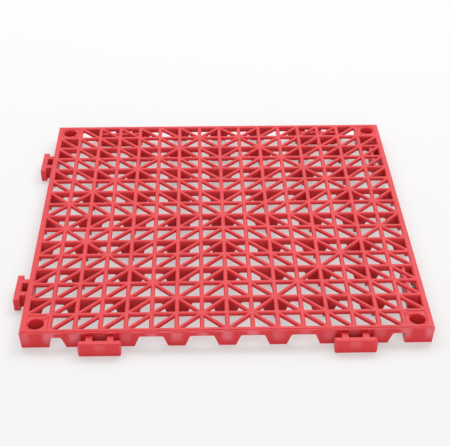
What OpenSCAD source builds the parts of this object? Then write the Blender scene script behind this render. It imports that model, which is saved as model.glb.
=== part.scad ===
// Interlocking deck tile, moulded in one piece of red plastic.
// The origin is the centre of the square at floor level. X points right, Y points back, Z up.
// The clips are on the left and front sides, and the pockets for them on the right and back.
// Grid lines are counted from 0 at the left or front border bar.

/* [Tile] */
// Length of each side of the square, without its clips
tile_w = 300; // [290:1:340]
// Height from the floor to the top of the bars
tile_h = 14.5; // [13:0.1:24]
// Number of lattice cells along each side
cells = 16; // [12:4:20]
// Width of the ledge round the top edge
ledge_w = 1.5; // [0.5:0.1:2.5]
// Step from the top of the bars down to the ledge
ledge_d = 0.5; // [0.2:0.1:1.5]

/* [Lattice] */
// Width of a straight bar
bar_w = 3.4; // [2.6:0.1:4.5]
// Width of a diagonal bar
diagonal_w = 3; // [1.5:0.1:4]
// Depth of the straight and diagonal bars
bar_d = 2.5; // [2:0.1:4]
// Chamfer along the top edges of the bars
bar_chamfer = 0.7; // [0.2:0.1:1]
// Width of the border bar, with its ledge
border_w = 4.5; // [4:0.1:7]

/* [Skirt and legs] */
// Thickness of the outer wall
skirt_t = 3.4; // [2:0.1:3.8]
// How far the outer faces lean in at the floor
skirt_draft = 0.9; // [0.1:0.1:1.4]
// Thickness of the deep ribs and inner walls
rib_t = 2.4; // [1.2:0.1:3.2]
// Width of a leg of the outer wall where it meets the floor
leg_w = 12.4; // [6:0.1:16]
// Width of an inner leg where it meets the floor
inner_leg_w = 15.6; // [8:0.1:18]
// Width of the roof of a drain channel where it runs out through the outer wall
channel_roof_w = 17.2; // [12:0.1:20]
// Height of a drain channel
channel_h = 9.4; // [5:0.1:10]
// Radius where the roof of a channel meets its sides
channel_r = 1.8; // [0.4:0.1:3]

/* [Corners] */
// Width of the hollow block under each corner
corner_w = 21; // [17:0.1:26]
// Diameter of the round hole in each corner
hole_d = 11.6; // [5:0.1:13]
// Chamfer round the top of that hole
hole_chamfer = 0.5; // [0.2:0.1:1]
// Thickness of the tube round that hole
tube_t = 2.2; // [1.8:0.1:3]
// Step from the top of the bars down to the corner pad
pad_step = 0.7; // [0.2:0.05:1.5]

/* [Clips] */
// Grid line that each clip is centred on, counted from both ends of its side
clip_line = 3; // [3:2:5]
// Gap between the outer wall and the plate of a clip
clip_gap = 5.2; // [4:0.1:6]
// Thickness of the plate of a clip at its top
clip_t = 4.8; // [3:0.1:6]
// How much the outer face of that plate leans in, from its top to its bottom edge
clip_lean = 0.2; // [0:0.1:2]
// How much narrower that plate is at each end of its bottom edge
clip_taper = 0.5; // [0:0.1:2]
// Radius of the four corners of that plate
clip_r = 1.4; // [0.5:0.1:4]
// Chamfer along its top edges
clip_chamfer = 0.6; // [0.2:0.1:1.2]
// Step from the top of the bars down to the top of a clip
clip_drop = 3.2; // [2.9:0.1:6]
// Gap between the floor and the bottom of a clip
clip_lift = 0.2; // [0:0.1:2]
// Width of each of the two arms that carry a clip
arm_w = 4.7; // [2:0.1:6]
// Distance from the middle of a clip to the middle of each arm
arm_offset = 7.55; // [4:0.05:10]
// Width of the shallow recess in the wall behind a clip
recess_w = 27; // [24:0.1:30]
// Depth of that recess
recess_d = 1.8; // [0.5:0.1:1.9]
// Thickness of the rim left above that recess
recess_rim = 1.7; // [1:0.1:3]

/* [Pockets] */
// Clearance on each side of a clip and of its arms in the pocket of the next tile
fit_gap = 0.3; // [0.1:0.05:0.8]
// Clearance at each end of a clip in that pocket
end_gap = 1.5; // [0.3:0.1:4]

/* [Hidden] */

// How far a cut runs past the face that it opens
past = 1;

half_w = tile_w / 2;
pitch = (tile_w - 2 * border_w + bar_w) / cells;
cell_gap = pitch - bar_w;
lattice_top = tile_h - ledge_d;
// The ribs and inner walls end inside the straight bars
rib_h = tile_h - bar_d / 2;

// A pocket lies between the two ribs beside its clip line, and the clip fits its length
pocket_l = 2 * pitch - rib_t;
clip_w = pocket_l - 2 * end_gap;
clip_top = tile_h - clip_drop;
pocket_d = clip_t + 2 * fit_gap;
pocket_h = clip_top + fit_gap;
// Thickness of the outer wall at a pocket, which the clip hooks over
hook_t = clip_gap - fit_gap;

// The corner hole is in the middle of the space inside its block
hole_pos = half_w - (skirt_t + corner_w - rib_t) / 2;

function line_at(i) = (i - cells / 2) * pitch;

// Cells whose diagonal leans against the radial pattern, in a diamond from side to side
function on_diamond(c, r) =
    let (h = cells / 2, x = c - h + 0.5, y = r - h + 0.5)
    abs(abs(x) + abs(y) - h) < 0.5;

// True where the diagonal of a cell rises to the right, seen from above with Y up
function rises(c, r) =
    let (h = cells / 2, radial = (c < h) == (r < h))
    on_diamond(c, r) ? !radial : radial;

function is_corner(c, r) =
    (c == 0 || c == cells - 1) && (r == 0 || r == cells - 1);

// Copies across the diagonal of the tile, so that two neighbouring sides match
module both_sides() {
    children();
    mirror([1, -1, 0]) children();
}

// Copies at both clip lines along the front side
module at_clip_lines() {
    for (i = [clip_line, cells - clip_line])
        translate([line_at(i), 0, 0]) children();
}

// Trapezoid whose two upper corners are rounded. Its base is on the X axis, and its sides run on
// below that by the last value.
module arch(base_w, top_w, h, r, below = 0) {
    slope = (base_w - top_w) / 2 / h;
    lean = atan(slope);
    foot_x = base_w / 2 + slope * below;
    centre = [top_w / 2 - r * tan((90 - lean) / 2), h - r];
    side = centre + r * [cos(lean), sin(lean)];
    polygon([
        [-foot_x, -below],
        [foot_x, -below],
        side,
        [centre[0], h],
        [-centre[0], h],
        [-side[0], side[1]]
    ]);
    for (s = [-1, 1])
        translate([s * centre[0], centre[1]]) circle(r, $fn = 32);
}

// The two triangles that stay open beside a diagonal that rises to the right
module cell_triangles() {
    s = cell_gap / 2;
    k = diagonal_w / sqrt(2);
    for (m = [0, 1])
        mirror([m, -m])
            polygon([[-s, -s + k], [s - k, s], [-s, s]]);
}

// The same two triangles, from the given depth up to past the top, where they are wider by the
// chamfer. A triangle grows by one width on each side when it is scaled about its inner circle.
module cell_chamfers(depth) {
    s = cell_gap / 2;
    leg = cell_gap - diagonal_w / sqrt(2);
    r = leg * (1 - sqrt(0.5));
    for (m = [0, 1])
        mirror([m, -m, 0])
            translate([r - s, s - r, -depth])
                linear_extrude(2 * depth, scale = 1 + 2 * bar_chamfer / r)
                    polygon([[-r, r - leg], [leg - r, r], [-r, r]]);
}

module each_cell(corners) {
    for (c = [0 : cells - 1], r = [0 : cells - 1])
        if (is_corner(c, r) == corners)
            translate([line_at(c + 0.5), line_at(r + 0.5)])
                mirror([rises(c, r) ? 0 : 1, 0]) children();
}

// Top grid with a diagonal in each cell, and the solid corner pads
module lattice() {
    translate([0, 0, tile_h - bar_d])
        difference() {
            linear_extrude(bar_d)
                difference() {
                    square(tile_w - 2 * ledge_w, center = true);
                    each_cell(corners = false) cell_triangles();
                }
            translate([0, 0, bar_d]) {
                each_cell(corners = false) cell_chamfers(bar_chamfer);
                each_cell(corners = true) cell_chamfers(pad_step);
            }
        }
}

// Outer wall on all four sides, up to the ledge
module skirt() {
    linear_extrude(lattice_top)
        difference() {
            square(tile_w, center = true);
            square(tile_w - 2 * skirt_t, center = true);
        }
}

// Form of the whole square, with two outer faces that lean in towards the floor
module leaning_faces() {
    rotate([90, 0, 0])
        translate([0, 0, -half_w - past])
            linear_extrude(tile_w + 2 * past)
                polygon([
                    [-half_w + skirt_draft, 0],
                    [half_w - skirt_draft, 0],
                    [half_w, lattice_top],
                    [-half_w, lattice_top]
                ]);
}

// Full-height ribs under every second grid line, in both directions
module deep_ribs() {
    both_sides()
        for (i = [2 : 2 : cells - 2])
            translate([line_at(i) - rib_t / 2, -half_w + skirt_t / 2, 0])
                cube([rib_t, tile_w - skirt_t, rib_h]);
}

// Drain channel along Y, open to the floor, between legs of the given width
module channel(l, leg) {
    rotate([90, 0, 0])
        translate([0, 0, -l / 2])
            linear_extrude(l)
                arch(2 * pitch - leg, channel_roof_w + leg_w - leg, channel_h, channel_r, past);
}

// Channels through the ribs, on every line between two rows of legs
module rib_channels() {
    both_sides()
        for (i = [1 : 2 : cells - 1])
            translate([line_at(i), 0, 0])
                channel(line_at(cells - 1) - line_at(1), inner_leg_w);
}

// Wider mouths of the channels in the outer wall, except at the clips and pockets
module channel_mouths() {
    both_sides()
        for (i = [1 : 2 : cells - 1], s = [-1, 1])
            if (i != clip_line && i != cells - clip_line)
                translate([line_at(i), s * half_w, 0])
                    channel(2 * (skirt_t + past), leg_w);
}

// Hollow block with a tube for the hole, under each corner pad
module corner_blocks() {
    inner_w = corner_w - skirt_t - rib_t;
    for (x = [-1, 1], y = [-1, 1])
        linear_extrude(rib_h) {
            difference() {
                translate([x * (half_w - corner_w / 2), y * (half_w - corner_w / 2)])
                    square(corner_w, center = true);
                translate([x * hole_pos, y * hole_pos]) square(inner_w, center = true);
            }
            translate([x * hole_pos, y * hole_pos]) circle(d = hole_d + 2 * tube_t, $fn = 64);
        }
}

// Holes through the corner pads, each with a chamfer that runs on up past the bars
module corner_holes() {
    h = hole_chamfer + pad_step + past;
    for (x = [-1, 1], y = [-1, 1])
        translate([x * hole_pos, y * hole_pos, 0]) {
            translate([0, 0, -past]) cylinder(d = hole_d, h = tile_h + 2 * past, $fn = 64);
            translate([0, 0, tile_h + past - h])
                cylinder(d1 = hole_d, d2 = hole_d + 2 * h, h = h, $fn = 64);
        }
}

// Thicker outer wall and inner wall of a pocket, between two ribs at the back
module pocket_walls() {
    translate([-pitch, half_w - hook_t, 0])
        cube([2 * pitch, hook_t - skirt_t / 2, rib_h]);
    translate([-pitch, half_w - hook_t - pocket_d - rib_t, 0])
        cube([2 * pitch, rib_t, rib_h]);
}

// Space for a clip, with a notch through the outer wall for each of its arms
module pocket_space() {
    translate([-pocket_l / 2, half_w - hook_t - pocket_d, -past])
        cube([pocket_l, pocket_d, pocket_h + past]);
    for (s = [-1, 1])
        translate([s * arm_offset - arm_w / 2 - fit_gap, half_w - hook_t - pocket_d / 2, -past])
            cube([arm_w + 2 * fit_gap, pocket_d / 2 + hook_t + past, pocket_h + past]);
}

// Clip plate in front of the front skirt, and the two arms that carry it
module clip() {
    h = clip_top - clip_lift;
    foot_w = clip_w - 2 * clip_taper;
    inner = -half_w - clip_gap;
    outer = inner - clip_t;
    intersection() {
        translate([0, inner + past, clip_lift])
            rotate([90, 0, 0])
                linear_extrude(clip_t + 2 * past)
                    intersection() {
                        arch(foot_w, clip_w, h, clip_r);
                        translate([0, h]) mirror([0, 1]) arch(clip_w, foot_w, h, clip_r);
                    }
        rotate([90, 0, 90])
            translate([0, 0, -clip_w / 2 - past])
                linear_extrude(clip_w + 2 * past)
                    polygon([
                        [inner, clip_lift],
                        [inner, clip_top - clip_chamfer],
                        [inner - clip_chamfer, clip_top],
                        [outer + clip_chamfer, clip_top],
                        [outer, clip_top - clip_chamfer],
                        [outer + clip_lean, clip_lift]
                    ]);
    }
    for (s = [-1, 1])
        translate([s * arm_offset - arm_w / 2, inner - clip_t / 2, clip_lift])
            cube([arm_w, clip_t / 2 + clip_gap + (skirt_t + recess_d) / 2, h]);
}

module clip_recess() {
    translate([-recess_w / 2, -half_w - past, -past])
        cube([recess_w, recess_d + past, lattice_top - recess_rim + past]);
}

// Everything that stands under the lattice
module underside() {
    intersection() {
        leaning_faces();
        mirror([1, -1, 0]) leaning_faces();
        union() {
            difference() {
                skirt();
                channel_mouths();
            }
            difference() {
                deep_ribs();
                rib_channels();
            }
            corner_blocks();
            both_sides() at_clip_lines() pocket_walls();
        }
    }
}

module deck_tile() {
    color([0.86, 0.2, 0.24]) {
        difference() {
            union() {
                lattice();
                underside();
            }
            corner_holes();
            both_sides() at_clip_lines() pocket_space();
            both_sides() at_clip_lines() clip_recess();
        }
        both_sides() at_clip_lines() clip();
    }
}

deck_tile();
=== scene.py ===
import math

import bpy
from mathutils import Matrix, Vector

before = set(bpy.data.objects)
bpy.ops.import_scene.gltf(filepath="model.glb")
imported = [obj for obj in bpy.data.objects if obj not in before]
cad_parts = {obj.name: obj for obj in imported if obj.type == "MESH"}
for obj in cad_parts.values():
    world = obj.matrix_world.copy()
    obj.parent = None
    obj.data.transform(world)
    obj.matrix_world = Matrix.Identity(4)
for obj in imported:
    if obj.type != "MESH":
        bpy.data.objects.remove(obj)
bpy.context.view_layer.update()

# Camera: where the photograph was taken from in metres, its turn in degrees, its lens and
# sensor in millimetres, and the nearest and furthest distance in metres that it shows
CAMERA_AT = (-0.0200, -0.7505, 0.5192)
CAMERA_TURN = (55.613, -0.241, -1.513)
CAMERA_LENS = 86.9
CAMERA_SENSOR = 36
CAMERA_RANGE = (0.01, 20)

# Soft studio light: place and side of each lamp in metres, and its power in watts
SOFTBOXES = {
    "back": ((0.2, 1.6, 1.7), 1.4, 10.5),
    "back_left": ((-0.9, 0.9, 1.8), 1.2, 13.5),
    "back_right": ((0.9, 0.9, 1.8), 1.2, 16),
    "low_front": ((0.2, -2.1, 0.8), 0.9, 12.5),
}
# Even light from all round
WORLD_COLOUR = (1, 1, 1, 1)
WORLD_STRENGTH = 0.5

FLOOR_SIDE = 8
FLOOR_COLOUR = (0.805, 0.805, 0.81, 1)
FLOOR_ROUGHNESS = 0.9
# Share of the floor's look that is plain white, so that its shadow stays soft
FLOOR_WHITE = 0.4
# Distances in metres from the middle between which the floor fades to plain white
FLOOR_FADE = (0.5, 1.5)
# White that the floor's plain share and the backdrop show to the camera
WHITE = 0.96

# Edges of the moulded plastic: distance in metres within which points are joined first, then
# width in metres and steps of the rounding, and the angle in degrees that counts as an edge
WELD = 0.000002
EDGE_R = 0.0001
EDGE_STEPS = 2
EDGE_ANGLE = 30

# Red of the plastic, where it is deepest, where it is lightest, and the pale colour of the
# painted highlights (painted glints of light) on the outer walls
RED_DEEP = (0.64, 0.030, 0.038, 1)
RED_LIGHT = (0.71, 0.038, 0.047, 1)
RED_PAINTED_GLINT = (0.84, 0.22, 0.26, 1)
# Roughness where the plastic is glossiest and where it is dullest
ROUGHNESS = (0.37, 0.47)
SPECULAR = 0.35

# Noises in the plastic: scale, detail and roughness of each
NOISES = {
    "clouds": (38, 3, 0.5),
    "gloss": (150, 3, 0.5),
    # This noise sets how strong each painted highlight on the outer walls is
    "painted_glint": (45, 0, 0.5),
    "grain": (2400, 2, 0.6),
    "waves": (260, 2, 0.5),
}
# Span of a noise's values over which the look changes
NOISE_SPAN = (0.3, 0.7)
# Strength and depth in metres of the fine grain of the mould and of the surface's waviness
GRAIN_BUMP = (0.12, 0.00005)
WAVES_BUMP = (0.35, 0.0002)

# Spacing in metres of the painted highlights along a side wall: one on each leg and each clip
GLINT_STEP = 0.0184
# Height of the cosine along the wall between which a painted highlight fades in
GLINT_WAVE = (-0.4, 1.0)
# Heights in metres above the floor between which the painted highlights fade in
GLINT_HEIGHT = (0.001, 0.009)
# How squarely a wall has to face a side for a painted highlight to fade in
GLINT_FACING = (0.7, 0.95)
# Strength of the weakest and of the strongest painted highlight
GLINT_STRENGTH = (0.25, 0.6)
# Distance in metres from the middle of the tile beyond which a wall is an outer one
OUTER_WALL = 0.1475


def place_camera():
    data = bpy.data.cameras.new("photo_camera")
    data.sensor_width = CAMERA_SENSOR
    data.lens = CAMERA_LENS
    data.clip_start, data.clip_end = CAMERA_RANGE
    cam = bpy.data.objects.new("photo_camera", data)
    cam.location = CAMERA_AT
    cam.rotation_euler = [math.radians(a) for a in CAMERA_TURN]
    bpy.context.scene.collection.objects.link(cam)
    bpy.context.scene.camera = cam


class Nodes:
    """Builds a node tree from short calls."""

    def __init__(self, tree):
        self.tree = tree

    def put(self, socket, value):
        if isinstance(value, bpy.types.NodeSocket):
            self.tree.links.new(value, socket)
        else:
            socket.default_value = value

    def add(self, kind, inputs=None, **settings):
        node = self.tree.nodes.new(kind)
        for key, value in settings.items():
            setattr(node, key, value)
        for key, value in (inputs or {}).items():
            self.put(node.inputs[key], value)
        return node

    def math(self, operation, *values):
        node = self.add("ShaderNodeMath", operation=operation)
        for socket, value in zip(node.inputs, values):
            self.put(socket, value)
        return node.outputs[0]

    def split(self, vector):
        return self.add("ShaderNodeSeparateXYZ", {"Vector": vector}).outputs

    def noise(self, where, scale, detail, roughness):
        inputs = {"Vector": where, "Scale": scale, "Detail": detail, "Roughness": roughness}
        return self.add("ShaderNodeTexNoise", inputs).outputs["Fac"]

    def bump(self, height, strength, distance):
        inputs = {"Height": height, "Strength": strength, "Distance": distance}
        return self.add("ShaderNodeBump", inputs)

    def fade(self, value, low, high, to_low=0.0, to_high=1.0):
        inputs = {"Value": value, "From Min": low, "From Max": high,
                  "To Min": to_low, "To Max": to_high}
        node = self.add("ShaderNodeMapRange", inputs, interpolation_type="SMOOTHSTEP")
        return node.outputs["Result"]

    def seen(self):
        """1 on the rays that show a surface to the camera, also through gloss and glass."""
        ray = self.add("ShaderNodeLightPath").outputs
        return self.math("MAXIMUM", ray["Is Camera Ray"],
                         self.math("MAXIMUM", ray["Is Glossy Ray"], ray["Is Transmission Ray"]))

    def mix(self, share, first, second):
        node = self.add("ShaderNodeMix", data_type="RGBA")
        for key, value in (("Factor", share), ("A", first), ("B", second)):
            self.put(node.inputs[key], value)
        return node.outputs["Result"]


def new_material(name):
    """A material, its node builder, and its Principled BSDF."""
    mat = bpy.data.materials.new(name)
    mat.use_nodes = True
    return mat, Nodes(mat.node_tree), mat.node_tree.nodes["Principled BSDF"]


def painted_glint_share(n, coord, noise):
    """How strongly the outer walls are lightened by painted highlights (painted glints of
    light), stronger on some legs than on others.
    """
    x, y, z = n.split(coord["Object"])
    facing = n.split(coord["Normal"])
    towards_x = n.math("ABSOLUTE", facing["X"])
    towards_y = n.math("ABSOLUTE", facing["Y"])
    square = n.fade(n.math("MAXIMUM", towards_x, towards_y), *GLINT_FACING)
    reach = n.math("MAXIMUM", n.math("ABSOLUTE", x), n.math("ABSOLUTE", y))
    outer = n.math("GREATER_THAN", reach, OUTER_WALL)
    along = n.math("ADD", n.math("MULTIPLY", x, towards_y), n.math("MULTIPLY", y, towards_x))
    wave = n.math("COSINE", n.math("MULTIPLY", along, 2 * math.pi / GLINT_STEP))
    share = n.math("MULTIPLY", square, outer)
    share = n.math("MULTIPLY", share, n.fade(wave, *GLINT_WAVE))
    share = n.math("MULTIPLY", share, n.fade(z, *GLINT_HEIGHT))
    return n.math("MULTIPLY", share, n.fade(noise, *NOISE_SPAN, *GLINT_STRENGTH))


def plastic():
    """Red moulded plastic: clouds of colour and gloss, painted highlights on the outer walls,
    grain and waviness.
    """
    mat, n, shader = new_material("red_plastic")
    coord = n.add("ShaderNodeTexCoord").outputs
    noise = {name: n.noise(coord["Object"], *values) for name, values in NOISES.items()}

    red = n.mix(n.fade(noise["clouds"], *NOISE_SPAN), RED_DEEP, RED_LIGHT)
    # Painted highlights: pale patches mixed into the colour of the outer walls in place of
    # glints of light
    red = n.mix(painted_glint_share(n, coord, noise["painted_glint"]), red, RED_PAINTED_GLINT)
    n.put(shader.inputs["Base Color"], red)
    n.put(shader.inputs["Roughness"], n.fade(noise["gloss"], *NOISE_SPAN, *ROUGHNESS))
    n.put(shader.inputs["Specular IOR Level"], SPECULAR)

    grain = n.bump(noise["grain"], *GRAIN_BUMP)
    waves = n.bump(noise["waves"], *WAVES_BUMP)
    n.put(waves.inputs["Normal"], grain.outputs["Normal"])
    n.put(shader.inputs["Normal"], waves.outputs["Normal"])
    return mat


def round_edges(piece):
    weld = piece.modifiers.new("weld", "WELD")
    weld.merge_threshold = WELD
    bevel = piece.modifiers.new("rounded_edges", "BEVEL")
    bevel.width = EDGE_R
    bevel.segments = EDGE_STEPS
    bevel.limit_method = "ANGLE"
    bevel.angle_limit = math.radians(EDGE_ANGLE)
    bevel.harden_normals = True
    bevel.use_clamp_overlap = False


def floor():
    """Pale floor that keeps the tile's shadow and fades into the backdrop further out."""
    bpy.ops.mesh.primitive_plane_add(size=FLOOR_SIDE)
    plane = bpy.context.object
    plane.name = "floor"
    mat, n, shader = new_material("floor")
    n.put(shader.inputs["Base Color"], FLOOR_COLOUR)
    n.put(shader.inputs["Roughness"], FLOOR_ROUGHNESS)
    n.put(shader.inputs["Specular IOR Level"], 0.0)
    place = n.add("ShaderNodeTexCoord").outputs["Object"]
    reach = n.add("ShaderNodeVectorMath", {0: place}, operation="LENGTH").outputs["Value"]
    share = n.fade(reach, *FLOOR_FADE, FLOOR_WHITE, 1.0)
    white = n.add("ShaderNodeEmission", {"Strength": WHITE}).outputs["Emission"]
    blend = n.add("ShaderNodeMixShader", {0: n.math("MULTIPLY", n.seen(), share),
                                          1: shader.outputs["BSDF"], 2: white})
    output = mat.node_tree.nodes["Material Output"]
    n.put(output.inputs["Surface"], blend.outputs["Shader"])
    plane.data.materials.append(mat)


def lights():
    world = bpy.data.worlds.new("studio")
    bpy.context.scene.world = world
    world.use_nodes = True
    n = Nodes(world.node_tree)
    sky = world.node_tree.nodes["Background"]
    n.put(sky.inputs["Color"], WORLD_COLOUR)
    n.put(sky.inputs["Strength"], n.fade(n.seen(), 0.0, 1.0, WORLD_STRENGTH, WHITE))
    for name, (at, side, power) in SOFTBOXES.items():
        data = bpy.data.lights.new(name, "AREA")
        data.shape = "SQUARE"
        data.size = side
        data.energy = power
        lamp = bpy.data.objects.new(name, data)
        lamp.location = at
        lamp.rotation_euler = (-Vector(at)).to_track_quat("-Z", "Y").to_euler()
        bpy.context.scene.collection.objects.link(lamp)


bpy.context.scene.view_settings.view_transform = "Standard"
place_camera()
lights()
floor()

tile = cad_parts["deck_tile"]
tile.data.materials.clear()
tile.data.materials.append(plastic())
round_edges(tile)
